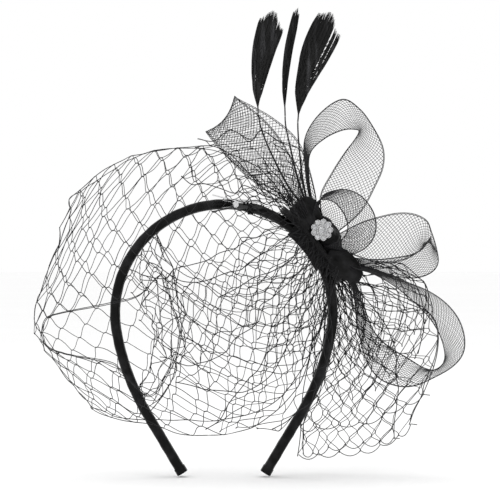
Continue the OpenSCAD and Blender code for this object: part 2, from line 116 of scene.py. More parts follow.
# The crin loops, satin leaves, veil and feathers follow the same points as their CAD solids, except
# that loop b's end and loop d's front edges lie lower and the leaves' inner edges lie nearer the base.
LOOPS = {
    "crin_loop_a": [
        [[57, -5, 58], [55.5, -9, 75], [46.5, -13, 103], [30, -13, 119], [9, -7, 131], [7, 0, 133],
         [11, 8, 130], [24, 13, 120], [35, 13, 107], [43, 12, 92], [48, 9, 74], [53, 5, 58]],
        [[50, -6, 59], [37, -11, 71], [20, -13, 81], [4, -13, 94], [-9, -7, 109], [-11, 0, 111],
         [-7, 8, 106], [1, 13, 97], [12, 13, 86], [25, 13, 76], [39, 10, 68], [50, 6, 59]],
    ],
    "crin_loop_b": [
        [[56, 6, 59], [52, 10, 74], [50, 14, 90], [50, 15, 108], [59, 14, 123], [73, 11, 132], [84, 12, 126],
         [92, 10, 115], [98, 5, 102], [98, 2, 90], [93, 0, 78], [84, 1, 62], [69, 2, 49]],
        [[58, -5, 58], [54, -8, 70], [52, -11, 84], [53, -9, 98], [62, -5, 107], [73, -6, 112],
         [81, -11, 112], [82, -14, 110], [79, -14, 105], [73, -12, 97], [66, -10, 86], [59, -8, 72],
         [60, -6, 58]],
    ],
    "crin_loop_c": [
        [[56, -9, 57], [60, -8, 71], [67, -7, 75], [76, -6, 75.5], [85, -5, 71], [92, -5, 61],
         [93, -5, 50], [88, -6, 41], [79, -7, 36.5], [67, -9, 38]],
        [[53, -14, 55], [56, -24, 67], [61, -29, 69], [67, -31, 67], [72, -32, 61], [74.5, -32, 54],
         [74, -31, 49], [71, -29, 45], [65, -25, 42], [60, -14, 41]],
    ],
    "crin_loop_d": [
        [[66, 2, 46], [83, 3, 55], [95, 6, 59], [107, 8, 61.5], [117, 8, 61], [125, 8, 57], [128, 7, 50],
         [131, 6, 40], [132, 5, 31], [128, 4, 25], [119, 4, 21.5], [108, 3, 22], [96, 1, 24], [82, 0, 30],
         [67, 2, 38]],
        [[66, -8, 41.5], [82, -15, 34.5], [95, -20, 31], [107, -22, 32], [117, -23, 37], [123, -22, 43.5],
         [125.5, -20, 47], [124, -18, 44], [120, -17, 39], [114, -16, 36], [107, -15, 34.5], [100, -14, 33.5],
         [91, -12, 33], [80, -9, 34], [67, -6, 37.5]],
    ],
    "crin_loop_e": [
        [[67, 5, 37], [80, 8, 31], [96, 9, 26], [113, 9, 19], [127, 9, 13], [137.5, 9, 5.5], [145, 9, -4],
         [148.5, 8, -15], [147.5, 6, -25], [141, 4, -33], [129, 3, -40], [117, 3, -45], [106, 4, -45],
         [95, 5, -40], [87, 5, -28], [82, 5, -7], [79, 5, 14], [70, 4, 32]],
        [[68, -5, 36], [79, -16, 28], [91, -17, 24], [104, -17, 16.5], [115, -17, 7.5], [124, -17, -1.5],
         [130, -17, -10.5], [133.5, -17, -20], [134, -16, -28], [130, -14, -34], [122, -12, -33],
         [112, -11, -27], [102, -10, -21], [94, -9, -14], [89, -8, -5], [85, -7, 7], [80, -5, 20],
         [71, -4, 33]],
    ],
}

# Where along a loop its braid cups at a fold, and which way.
CRIN_CUPS = {
    "crin_loop_a": (0.46, [3.4, 0, -3.2]),
    "crin_loop_b": (0.62, [-1.5, 0, -1.2]),
    "crin_loop_d": (0.45, [-1.8, 0, 0]),
    "crin_loop_e": (0.55, [-1.6, 0, 1.6]),
}

# Each leaf's outer and inner edge.
LEAVES = {
    "satin_leaf_upper": [
        [[60, -11.5, 60], [55.5, -14, 69], [50, -14, 71], [43.5, -12, 66]],
        [[51, -19, 50], [45.5, -19, 55], [41.5, -17.5, 59], [40, -13, 62]],
    ],
    "satin_leaf_lower": [
        [[67, -10, 41], [74.5, -12, 38.5], [81, -12, 32.5], [85, -9, 24.5]],
        [[60, -19, 33], [65.5, -19, 26.5], [73, -17, 21], [82, -12, 18.5]],
    ],
}

# The veil's front layer, as ribs from the gather to its left edge, the lowest first.
VEIL_RIBS = [
    [[67, -18.6, 27], [47, -33, -38], [6, -40, -68], [-48, -32, -63], [-79, 0, -54]],
    [[60, -18.6, 37], [34, -41, -8], [-16, -48, -26], [-72, -36, -30], [-103, 0, -28]],
    [[53, -18.6, 46], [14, -43, 28], [-36, -50, 20], [-88, -36, 4], [-115, 0, -5]],
    [[47, -18.6, 54], [8, -38, 66], [-38, -45, 64], [-84, -34, 48], [-106, 0, 28]],
    [[42, -18.6, 61], [22, -28, 92], [-22, -32, 101], [-64, -24, 91], [-92, 0, 70]],
]

# The back layer is flatter than the front one and, away from its ends, turned about the veil's middle.
VEIL_MIDDLE = (-30, 5)
VEIL_BACK_DEPTH = 0.85
VEIL_BACK_TURN = 11

# Where the front layer is missing on the left, seen from the front (X and Z), so that one layer shows.
VEIL_WINDOW = [[-111, -12], [-108, -3], [-98, 1], [-69, 7], [-50, 12], [-36, 24], [-30, 6], [-25, -12],
               [-31, -32], [-44, -49], [-60, -35], [-68, -29], [-96, -24], [-108, -20]]

# Folds of the veil's spare cloth: a crumpled one inside the band, a turned one that is seen nearly edge on,
# one over the left crin loop, one inside the band's right leg, three short ones close to the gather and one
# behind the band.
VEIL_FOLDS = {
    "inside": [
        [[66, -17.5, 27], [46, -23, -6], [22, -26, -34], [-8, -22, -40], [-26, -14, -42]],
        [[60, -17.5, 37], [40, -29, 6], [14, -31, -14], [-10, -25, -22], [-26, -16, -16]],
        [[53, -17.5, 46], [36, -24, 26], [8, -27, 8], [-12, -27, 2], [-30, -16, 6]],
        [[47, -17.5, 54], [26, -27, 40], [0, -25, 26], [-22, -20, 22], [-40, -12, 34]],
    ],
    "turned": [
        [[-40, -30, 48], [-26, -34, 22], [-22, -35, -8], [-30, -34, -34], [-46, -26, -50]],
        [[-47, -14, 44], [-37, -18, 22], [-33, -18, -8], [-40, -16, -34], [-50, -14, -50]],
        [[-50, 4, 36], [-46, 4, 16], [-44, 4, -8], [-48, 4, -30], [-54, 2, -48]],
    ],
    "over_loop": [
        [[45, -18, 59], [40, -25, 70], [24, -28, 74], [2, -28, 78], [-22, -27, 84]],
        [[46, -18, 60], [43, -26, 82], [30, -29, 92], [6, -29, 98], [-16, -28, 98]],
        [[49, -18, 62], [50, -25, 88], [38, -28, 102], [12, -29, 107], [-10, -27, 104]],
    ],
    "right_leg": [
        [[67, -17.5, 27], [64, -24, -6], [58, -26, -40], [44, -22, -62], [30, -18, -66]],
        [[62, -17.5, 34], [50, -27, 2], [40, -30, -30], [26, -28, -54], [8, -24, -66]],
        [[56, -17.5, 42], [38, -22, 14], [26, -24, -18], [10, -24, -44], [-12, -22, -62]],
    ],
    "by_base": [
        [[66, -17.5, 27], [62, -22, 8], [54, -24, -10], [44, -24, -24]],
        [[60, -17.5, 37], [46, -24, 18], [34, -26, 0], [22, -26, -12]],
        [[53, -17.5, 46], [36, -23, 34], [18, -26, 22], [2, -26, 14]],
    ],
    "crest": [
        [[45, -18, 59], [36, -24, 66], [22, -27, 70], [8, -28, 72]],
        [[46, -18, 61], [39, -25, 76], [28, -28, 84], [16, -28, 88]],
        [[49, -18, 63], [46, -24, 82], [40, -27, 94], [32, -28, 102]],
    ],
    "behind": [
        [[58, 18, 40], [30, 24, 12], [6, 27, -16], [-20, 24, -30], [-44, 18, -24]],
        [[52, 18, 48], [22, 26, 30], [-4, 29, 8], [-30, 25, -4], [-54, 16, 4]],
        [[46, 18, 56], [18, 24, 50], [-8, 26, 34], [-36, 22, 26], [-60, 14, 30]],
    ],
    "curl": [
        [[42, -18, 62], [33, -23, 60], [24, -26, 63], [14, -27, 68]],
        [[45, -18, 60], [37, -25, 68], [29, -28, 74], [20, -29, 80]],
        [[47, -18, 58], [42, -26, 74], [36, -29, 84], [28, -30, 92]],
    ],
}

# Each fold's half cells.
FOLD_CELLS = {
    "inside": (10, 16),
    "turned": (9, 12),
    "over_loop": (6, 10),
    "right_leg": (8, 14),
    "by_base": (12, 8),
    "crest": (9, 7),
    "behind": (7, 13),
    "curl": (12, 6),
}

# The tail's cloth, as ribs from its left edge to its right one.
TAIL_RIBS = [
    [[66, 21, 30], [62, 20, 4], [56, 16, -26], [51, 14, -58], [48, 14, -86]],
    [[67.5, 21.5, 28.5], [70, 23, -2], [70, 22, -30], [68, 22, -60], [66, 22, -85]],
    [[69, 22, 26.5], [80, 19.5, -4], [86, 17, -32], [87, 15, -59], [86, 14, -82]],
    [[71, 22, 24], [90, 22.5, 4], [104, 22, -20], [108, 21, -46], [104, 20, -76]],
    [[72, 22, 22], [99, 18, 15], [127, 15, 0], [130, 13, -24], [115, 12, -66]],
]

# The tail's layers: how far each hangs back, the share of its length that it keeps and the ribs it spans.
TAIL_LAYERS = [(-2.5, 1.0, 5), (1.0, 0.86, 5), (4.0, 1.0, 4)]

# The bunched cloth under the base, as ribs from its left edge to its right one.
BUNCH_RIBS = [
    [[65, 20.5, 30], [66, 20, 12], [67, 18, -6], [66, 17, -26], [60, 16, -46]],
    [[69, 21, 28], [79, 21, 14], [88, 18, -6], [94, 17, -28], [91, 16, -50]],
    [[74, 21.5, 27], [95, 20, 31], [113, 18, 26], [125, 16, 8], [123, 15, -24]],
]
BUNCH_CELLS = (18, 11)

# The bunched layers: how far each hangs back and the share of its length that it keeps.
BUNCH_LAYERS = [(-1.5, 1.0), (1.5, 0.7), (3.5, 0.8)]

# Each quill's route from the binding up to its plume.
QUILLS = {
    "quill_1": [[53.5, 0, 57.5], [49.5, 0, 65], [40, 0, 77], [29, 0, 98], [23, 0, 113], [21, 0, 122]],
    "quill_2": [[54.5, 1.9, 58], [51, 1.8, 66], [45, 2, 84], [40.5, 2, 103], [38, 3, 115], [37.6, 3, 121]],
    "quill_3": [[54, -1.9, 58], [51.5, -1.8, 66], [48, -2, 84], [46, -3, 103], [45.4, -3, 112],
                [45.3, -3, 117]],
}

# Each plume's route and its half widths along it.
PLUMES = {
    "vane_1": ([[21, 0, 122.2], [20.8, 0, 136], [22.5, -1, 150], [25, -2, 163], [28.5, -2, 175],
                [31, 0, 186]],
               [0.5, 2.9, 5.2, 7, 8, 8]),
    "vane_2": ([[37.6, 3, 121.2], [37.4, 3, 140], [39.5, 3, 160], [42.5, 2, 175], [45.3, 1, 188.5]],
               [0.4, 1.5, 2.3, 2.5, 2]),
    "vane_3": ([[45.3, -3, 117.2], [47, -3, 133], [51.5, -3, 147], [57, -4, 161], [62.5, -5, 173],
                [67, -5, 184]],
               [0.5, 3.2, 6.2, 8.8, 9.6, 8.4]),
}

# Each plume's tufts: where one starts and ends across the plume, how far up its tip is and where it parts.
TUFTS = {
    "vane_1": [(0, 0.2, 0.9, 0.84), (0.2, 0.42, 0.97, 0.86), (0.42, 0.5, 1.0, 0.74), (0.5, 0.74, 0.98, 0.7),
               (0.74, 1, 0.85, 0.84)],
    "vane_2": [(0, 0.45, 0.95, 0.88), (0.45, 0.75, 1.0, 0.84), (0.75, 1, 0.94, 0.86)],
    "vane_3": [(0, 0.3, 0.96, 0.9), (0.3, 0.46, 1.0, 0.9), (0.46, 0.56, 0.99, 0.84), (0.56, 0.7, 0.95, 0.8),
               (0.75, 0.85, 0.87, 0.86), (0.88, 1, 0.85, 0.8)],
}


# ---------------------------------------------------------------- materials

def new_material(name, values):
    """A material with these values on its Principled shader, its node tree and the shader."""
    mat = bpy.data.materials.new(name)
    mat.use_nodes = True
    shader = mat.node_tree.nodes["Principled BSDF"]
    for socket, value in values.items():
        shader.inputs[socket].default_value = value
    return mat, mat.node_tree, shader


def add_node(tree, kind, values, sources):
    """A new shader node with these values, and these outputs of other nodes, on its sockets."""
    node = tree.nodes.new(kind)
    for socket, value in values.items():
        node.inputs[socket].default_value = value
    for socket, source in sources.items():
        tree.links.new(source, node.inputs[socket])
    return node


def object_coords(tree, scale=1000, stretch=1.0):
    """Object coordinates in 1/scale of a metre, with patterns drawn out upwards by stretch."""
    coords = tree.nodes.new("ShaderNodeTexCoord").outputs["Object"]
    scales = {"Scale": (scale, scale, scale / stretch)}
    return add_node(tree, "ShaderNodeMapping", scales, {"Vector": coords}).outputs["Vector"]


def noise(tree, vector, scale, detail=3.0):
    values = {"Scale": scale, "Detail": detail}
    return add_node(tree, "ShaderNodeTexNoise", values, {"Vector": vector}).outputs["Fac"]


def fine_waves(tree, vector, scale, direction, distortion=1.0):
    values = {"Scale": scale, "Distortion": distortion, "Detail": 2}
    node = add_node(tree, "ShaderNodeTexWave", values, {"Vector": vector})
    node.bands_direction = direction
    return node.outputs["Fac"]


def added(tree, a, b):
    node = add_node(tree, "ShaderNodeMath", {}, {0: a, 1: b})
    node.operation = "ADD"
    return node.outputs["Value"]


def set_colour(tree, shader, factor, low, high, start=0.3, end=0.7):
    """Colours the shader from low to high over the factor."""
    node = add_node(tree, "ShaderNodeValToRGB", {}, {"Fac": factor})
    node.color_ramp.elements[0].position = start
    node.color_ramp.elements[0].color = (*low, 1)
    node.color_ramp.elements[1].position = end
    node.color_ramp.elements[1].color = (*high, 1)
    tree.links.new(node.outputs["Color"], shader.inputs["Base Color"])


def set_roughness(tree, shader, factor, low, high):
    """Makes the shader's roughness run from low to high over the factor."""
    node = add_node(tree, "ShaderNodeMapRange", {"To Min": low, "To Max": high}, {"Value": factor})
    tree.links.new(node.outputs["Result"], shader.inputs["Roughness"])


def set_bump(tree, shader, height, strength, distance):
    values = {"Strength": strength, "Distance": distance}
    node = add_node(tree, "ShaderNodeBump", values, {"Height": height})
    tree.links.new(node.outputs["Normal"], shader.inputs["Normal"])


def satin_material():
    """Black satin: a tight warp-faced weave, a soft sheen, slight variation in gloss and lighter patches of
    painted highlight in its colour.
    """
    mat, tree, shader = new_material("black_satin", {
        "Sheen Weight": 0.01, "Sheen Roughness": 0.35, "Specular IOR Level": 0.12})
    vector = object_coords(tree)
    gloss_and_painted_highlight = noise(tree, vector, 0.12)
    weave = added(tree, fine_waves(tree, vector, 1.3, "X"), fine_waves(tree, vector, 1.1, "Z"))
    # painted highlight: the lighter patches of the base colour stand in for the sheen on the satin's creases
    set_colour(tree, shader, gloss_and_painted_highlight, (0.001, 0.001, 0.001), (0.014, 0.014, 0.015), 0.42, 0.72)
    set_roughness(tree, shader, gloss_and_painted_highlight, 0.3, 0.5)
    set_bump(tree, shader, weave, 0.12, 0.0001)
    return mat


def felt_material():
    """Black felt: matted fibres and a dusty sheen."""
    mat, tree, shader = new_material("black_felt", {
        "Roughness": 0.95, "Sheen Weight": 0.06, "Specular IOR Level": 0.1})
    fibres = noise(tree, object_coords(tree), 2.2, 6)
    set_colour(tree, shader, fibres, (0.006, 0.006, 0.006), (0.022, 0.022, 0.023))
    set_bump(tree, shader, fibres, 0.6, 0.0003)
    return mat


def thread_material(name, low, high, roughness):
    """Spun or drawn thread: twist along it and a little change in tone."""
    mat, tree, shader = new_material(name, {"Specular IOR Level": 0.25})
    vector = object_coords(tree)
    tone = noise(tree, vector, 0.35)
    set_colour(tree, shader, tone, low, high)
    set_roughness(tree, shader, tone, roughness - 0.08, roughness + 0.1)
    set_bump(tree, shader, fine_waves(tree, vector, 2.5, "DIAGONAL"), 0.25, 0.00005)
    return mat


def feather_material():
    """Glossy black barbs with long, slightly cool streaking of painted sheen in their colour; the same
    pattern varies the gloss and the bump.
    """
    mat, tree, shader = new_material("black_feather", {"Specular IOR Level": 0.3})
    gloss_and_painted_sheen_streaks = noise(tree, object_coords(tree, stretch=14), 0.45)
    # painted sheen: the lighter, slightly cool streaking of the base colour stands in for gloss along the
    # barbs
    set_colour(tree, shader, gloss_and_painted_sheen_streaks, (0.001, 0.001, 0.001), (0.045, 0.045, 0.048), 0.5, 0.74)
    set_roughness(tree, shader, gloss_and_painted_sheen_streaks, 0.28, 0.5)
    set_bump(tree, shader, gloss_and_painted_sheen_streaks, 0.3, 0.0001)
    return mat


def steel_material(name, tone, roughness):
    """Pressed steel strip: fine brushing and a few dull patches."""
    mat, tree, shader = new_material(name, {"Metallic": 1.0})
    vector = object_coords(tree)
    patches = noise(tree, vector, 0.25)
    dull = 0.75 * tone
    set_colour(tree, shader, patches, (dull, dull, dull), (tone, tone, tone * 1.01))
    set_roughness(tree, shader, patches, roughness, roughness + 0.2)
    set_bump(tree, shader, fine_waves(tree, vector, 1.6, "Z", 3), 0.08, 0.00005)
    return mat


def stone_material():
    """Clear cut glass."""
    mat, tree, shader = new_material("clear_stone", {
        "Roughness": 0.02, "Transmission Weight": 0.85, "IOR": 1.56, "Specular IOR Level": 0.8})
    set_colour(tree, shader, noise(tree, object_coords(tree), 0.3), (0.93, 0.94, 0.96), (1, 1, 1))
    return mat


MAT = {
    "satin": satin_material(),
    "felt": felt_material(),
    "thread": thread_material("sewing_thread", (0.004, 0.004, 0.004), (0.012, 0.012, 0.013), 0.6),
    "netting": thread_material("veil_netting", (0.004, 0.004, 0.005), (0.014, 0.014, 0.015), 0.55),
    "crin": thread_material("crin_braid", (0.006, 0.006, 0.007), (0.016, 0.016, 0.018), 0.4),
    "feather": feather_material(),
    "clip_steel": steel_material("clip_steel", 0.82, 0.22),
    "dark_steel": steel_material("dark_steel", 0.06, 0.3),
    "spring_steel": steel_material("spring_steel", 0.6, 0.3),
    "silver_setting": steel_material("silver_setting", 0.93, 0.1),
    "stone": stone_material(),
}


# ---------------------------------------------------------------- curves and surfaces

def spline(points, s):
    """Catmull-Rom through the points at each s, counted in points."""
    points = np.asarray(points, float)
    s = np.atleast_1d(np.asarray(s, float))
    last = len(points) - 1
    i = np.minimum(np.floor(s).astype(int), last - 1)
    u = (s - i).reshape(-1, *([1] * (points.ndim - 1)))
    a = points[np.maximum(i - 1, 0)]
    b = points[i]
    c = points[i + 1]
    d = points[np.minimum(i + 2, last)]
    cubic = (3 * b - a - 3 * c + d) * u ** 3
    return b + 0.5 * ((c - a) * u + (2 * a - 5 * b + 4 * c - d) * u ** 2 + cubic)


def sampled(at, marks, curve):
    """Points of the curve, which has a point at each of the marks, at other places."""
    return np.stack([np.interp(at, marks, curve[:, k]) for k in range(3)], axis=-1)


def even_steps(points, steps):
    """steps + 1 points along the smooth curve, the same distance apart."""
    fineness = 40
    dense = spline(points, np.linspace(0, len(points) - 1, fineness * len(points)))
    lengths = np.r_[0, np.cumsum(np.linalg.norm(np.diff(dense, axis=0), axis=1))]
    return sampled(np.linspace(0, lengths[-1], steps + 1), lengths, dense)


def rib_surface(ribs, along, across):
    """A grid of points, along + 1 by across + 1, on the smooth surface through the ribs."""
    long = np.stack([even_steps(r, along) for r in ribs])
    return np.swapaxes(spline(long, np.linspace(0, len(ribs) - 1, across + 1)), 0, 1)


def unit(v):
    return v / np.maximum(np.linalg.norm(v, axis=-1, keepdims=True), TINY)


def grid_normals(grid):
    return unit(np.cross(np.gradient(grid, axis=0), np.gradient(grid, axis=1)))


def angles_round(sides):
    return np.arange(sides) * 2 * math.pi / sides


def crease(a):
    """A wave with round tops and sharp valleys, from 0 to 1."""
    return np.sqrt(np.abs(np.sin(a / 2)))


# ---------------------------------------------------------------- faces, strands and objects

def point_numbers(grid):
    """The number of each of the grid's points."""
    rows, columns = grid.shape[:2]
    return np.arange(rows * columns).reshape(rows, columns)


def grid_faces(grid):
    """Quads over a grid of points."""
    index = point_numbers(grid)
    corners = [index[:-1, :-1], index[1:, :-1], index[1:, 1:], index[:-1, 1:]]
    return np.stack(corners, axis=-1).reshape(-1, 4)


def ring_faces(first, sides):
    """Quads from closed rings to the next ones, given the number of each ring's first point."""
    k = np.arange(sides)
    n = (k + 1) % sides
    ring = first[..., None]
    return np.stack([ring + k, ring + sides + k, ring + sides + n, ring + n], axis=-1).reshape(-1, 4)


def flipped(quads):
    return quads[:, [0, 3, 2, 1]]


def as_triangles(faces):
    """Quads as triangles, leaving out the ones with no area."""
    tris = np.concatenate([faces[:, [0, 1, 2]], faces[:, [0, 2, 3]]])
    keep = (tris[:, 0] != tris[:, 1]) & (tris[:, 1] != tris[:, 2]) & (tris[:, 0] != tris[:, 2])
    return tris[keep]


def joined(*parts):
    """Several (points, faces) made one."""
    points, faces, first = [], [], 0
    for p, f in parts:
        points.append(p)
        faces.append(f + first)
        first += len(p)
    return np.concatenate(points), np.concatenate(faces)


def tubes(lines, radius, sides=3):
    """Points and faces of open tubes round polylines: lines is count by steps by 3."""
    lines = np.asarray(lines, float)
    count, steps, _ = lines.shape
    along = unit(np.gradient(lines, axis=1))
    mean = unit(along.mean(axis=1))
    ref = np.where(np.abs(mean[:, 1:2]) < 0.85, [[0.0, 1.0, 0.0]], [[1.0, 0.0, 0.0]])
    across = unit(np.cross(along, ref[:, None, :]))
    up = np.cross(along, across)
    radius = np.broadcast_to(np.asarray(radius, float), (count, steps))[..., None]
    rings = [lines + radius * (math.cos(a) * across + math.sin(a) * up) for a in angles_round(sides)]
    points = np.stack(rings, axis=2).reshape(-1, 3)
    return points, ring_faces(point_numbers(lines)[:, :-1] * sides, sides)


def new_object(name, data):
    """A new object in the scene."""
    obj = bpy.data.objects.new(name, data)
    bpy.context.scene.collection.objects.link(obj)
    return obj


def add_object(name, points, faces, finish, node=None, smooth=True, body=BODY, slot=None):
    """A mesh piece from points in millimetres, riding on its body, in place of its CAD node if it has one."""
    mesh = bpy.data.meshes.new(name)
    points = np.asarray(points, float) * MM
    faces = np.asarray(faces, int)
    mesh.vertices.add(len(points))
    mesh.vertices.foreach_set("co", points.ravel())
    mesh.loops.add(faces.size)
    mesh.loops.foreach_set("vertex_index", faces.ravel())
    mesh.polygons.add(len(faces))
    mesh.polygons.foreach_set("loop_start", np.arange(0, faces.size, faces.shape[1]))
    mesh.update(calc_edges=True)
    mesh.polygons.foreach_set("use_smooth", np.full(len(faces), smooth))
    mesh.validate()
    obj = new_object(name, mesh)
    obj.data.materials.append(MAT[finish])
    if body:
        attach(obj, body)
    if node:
        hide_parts(node)
    return obj


def add_strands(name, parts, finish, node=None):
    """A piece made of several (points, faces), as triangles."""
    points, faces = joined(*parts)
    return add_object(name, points, as_triangles(faces), finish, node)


# ---------------------------------------------------------------- netting

def knots(centres, radius, rng):
    """Small octahedral knots, each turned its own way and left as quads folded on themselves."""
    count = len(centres)
    axes = unit(rng.normal(size=(count, 3)))
    side = unit(np.cross(axes, [[0.31, 0.52, 0.79]]))
    third = np.cross(axes, side)
    r = radius * rng.uniform(0.8, 1.25, (count, 1))
    corners = [centres + r * d for d in (axes, -axes, side, third, -side, -third)]
    points = np.stack(corners, axis=1).reshape(-1, 3)
    folded = []
    for a, b in ((2, 3), (3, 4), (4, 5), (5, 2)):
        folded += [[0, a, b, b], [1, b, a, a]]
    first = np.arange(count)[:, None, None] * len(corners)
    return points, (first + np.array(folded)).reshape(-1, 4)


def relaxed_cloth(grid, pinned, frames=14, growth=0.12, cap=8.0):
    """The grid after a short cloth simulation in which the cloth grows a little and buckles."""
    enlarged = 10
    mesh = bpy.data.meshes.new("cloth")
    mesh.from_pydata((grid.reshape(-1, 3) * MM * enlarged).tolist(), [], grid_faces(grid).tolist())
    obj = new_object("cloth", mesh)
    group = obj.vertex_groups.new(name="pin")
    group.add(pinned.tolist(), 1.0, "REPLACE")
    cloth = obj.modifiers.new("cloth", "CLOTH")
    settings = cloth.settings
    settings.quality = 6
    settings.mass = 0.1
    settings.tension_stiffness = 15
    settings.compression_stiffness = 15
    settings.shear_stiffness = 3
    settings.bending_stiffness = 0.3
    settings.vertex_group_mass = "pin"
    settings.shrink_min = -growth
    settings.effector_weights.gravity = 0.15
    cloth.point_cache.frame_start = 1
    cloth.point_cache.frame_end = frames
    scene = bpy.context.scene
    for f in range(1, frames + 1):
        scene.frame_set(f)
    done = obj.evaluated_get(bpy.context.evaluated_depsgraph_get())
    co = np.zeros(len(mesh.vertices) * 3)
    done.data.vertices.foreach_get("co", co)
    scene.frame_set(1)
    bpy.data.objects.remove(obj)
    moved = co.reshape(grid.shape) / (MM * enlarged) - grid
    far = np.linalg.norm(moved, axis=2, keepdims=True)
    return grid + moved * np.minimum(1, cap / np.maximum(far, TINY))


def wander(grid, rng, size, wavelength):
    """The grid with a slow, smooth drift added, so that no two cells are quite alike."""
    waves, usual_length, usual_sum = 6, 1.7, 2.4
    drift = np.zeros_like(grid)
    for _ in range(waves):
        wave = rng.normal(size=3) * 2 * math.pi / wavelength / usual_length
        drift += np.sin(grid @ wave + rng.uniform(0, 6))[..., None] * rng.normal(size=3)
    return grid + drift * size / usual_sum


def net_strands(grid, rng, jitter, shown=None, edges=(True, True)):
    """Diamond netting over a grid of half cells: slack threads between short twisted joins."""
    sides, slack, bend = 4, 0.4, 0.15
    rows, columns = grid.shape[:2]
    i, j = np.meshgrid(np.arange(rows), np.arange(columns), indexing="ij")
    shown = np.ones((rows, columns), bool) if shown is None else shown
    here = ((i + j) % 2 == 0) & shown
    places = grid + rng.normal(scale=jitter, size=grid.shape)
    twist = np.gradient(places, axis=0) * NET_TWIST
    q = np.linspace(0, 1, 5)[None, :, None]
    lines = []
    for step in (1, -1):
        a = here & (i < rows - 1) & (j + step >= 0) & (j + step < columns)
        ai, aj = i[a], j[a]
        kept = shown[ai + 1, aj + step]
        ai, aj = ai[kept], aj[kept]
        start = (places + twist)[ai, aj]
        end = (places - twist)[ai + 1, aj + step]
        sag = rng.normal(scale=slack, size=start.shape)
        reach = (end - start)[:, None, :]
        turn = (twist[ai, aj] + twist[ai + 1, aj + step])[:, None, :]
        bow = np.sin(2 * math.pi * q) * turn * bend + np.sin(math.pi * q) * sag[:, None, :]
        lines.append(start[:, None, :] + q * reach + bow)
    lines = np.concatenate(lines)
    thread = tubes(lines, NET_THREAD_R * rng.uniform(0.85, 1.15, (len(lines), 1)), sides)
    joins = np.stack([(places - twist)[here], places[here], (places + twist)[here]], axis=1)
    parts = [thread, tubes(joins, NET_JOIN_R, sides), knots(places[here], NET_KNOT_R, rng)]
    for side, wanted in zip((0, -1), edges):
        if wanted:
            border = spline(places[:, side], np.linspace(0, rows - 1, 4 * rows - 3))
            parts.append(tubes(border[None], NET_EDGE_R, sides))
    return joined(*parts)


def turned_back(point):
    """A point of the veil's back layer, turned about the veil's middle as seen from the front."""
    a = math.radians(VEIL_BACK_TURN)
    middle_x, middle_z = VEIL_MIDDLE
    x, z = point[0] - middle_x, point[2] - middle_z
    return [middle_x + x * math.cos(a) - z * math.sin(a), point[1],
            middle_z + x * math.sin(a) + z * math.cos(a)]


def veil_grid():
    """The veil's surface: a bubble from the gather in front of the base round to the gather behind it."""
    ribs = []
    for rib in VEIL_RIBS:
        back = [[x, -y * VEIL_BACK_DEPTH, z] for x, y, z in rib[-2::-1]]
        back[-1][1] = -rib[0][1]
        back[1:3] = [turned_back(point) for point in back[1:3]]
        ribs.append(rib + back)
    return rib_surface(ribs, VEIL_CELLS[1], VEIL_CELLS[0])


def with_pleats(grid, count, depth, reach, phase, both_ends=False):
    """Pushes pleats into a gathered sheet: deepest a little way from the gather, gone at its reach."""
    slant, end_phase = 0.6, 1.7
    steps, width = grid.shape[:2]
    u = np.linspace(0, 1, steps)[:, None]
    v = np.linspace(0, 1, width)[None, :]
    ends = [u, 1 - u] if both_ends else [u]
    push = np.zeros((steps, width))
    for k, e in enumerate(ends):
        swell = (e / reach) * np.exp(1 - e / reach)
        push += depth * swell * np.sin(2 * math.pi * (count * v + slant * e) + phase + end_phase * k)
    return grid + push[..., None] * grid_normals(grid)


def inside_outline(x, z, outline):
    """Which of the points lie within a closed outline."""
    within = np.zeros(np.shape(x), bool)
    for (x0, z0), (x1, z1) in zip(outline, outline[1:] + outline[:1]):
        crosses = (z0 > z) != (z1 > z)
        slope = (x1 - x0) * (z - z0) / (z1 - z0 if z1 != z0 else TINY) + x0
        within ^= crosses & (x < slope)
    return within


def outline_path(outline, steps):
    """Evenly spaced points round a closed outline."""
    return even_steps([[x, 0, z] for x, z in outline + outline[:1]], steps)


def gaps_seen(points, others):
    """How far apart each point and each of the others look from the front."""
    return np.hypot(points[..., 0, None] - others[:, 0], points[..., 2, None] - others[:, 2])


def window_cord(grid, outline):
    """The doubled edge thread round the front layer's window, laid on that layer."""
    apart, behind = 0.9, 0.3
    path = outline_path(outline, 150)
    nodes = grid.reshape(-1, 3)
    near = 1 / (gaps_seen(path, nodes) + 1) ** 4
    path[:, 1] = (near @ nodes[:, 1]) / near.sum(axis=1)
    inward = unit(path.mean(axis=0) - path) * [1, 0, 1]
    cords = [path + (shift * inward + [0, behind * shift, 0]) for shift in (0, apart)]
    return tubes(np.stack(cords), NET_CORD_R, 4)


def drawn_to(grid, shown, outline):
    """Moves the nodes just inside the window's outline on to it, so that its threads end on the cord."""
    reach = 7
    loop = outline_path(outline, 200)
    gap = gaps_seen(grid, loop)
    nearest = gap.argmin(axis=-1)
    close = ~shown & (gap.min(axis=-1) < reach)
    moved = grid.copy()
    moved[close, 0] = loop[nearest[close], 0]
    moved[close, 2] = loop[nearest[close], 2]
    return moved, shown | close


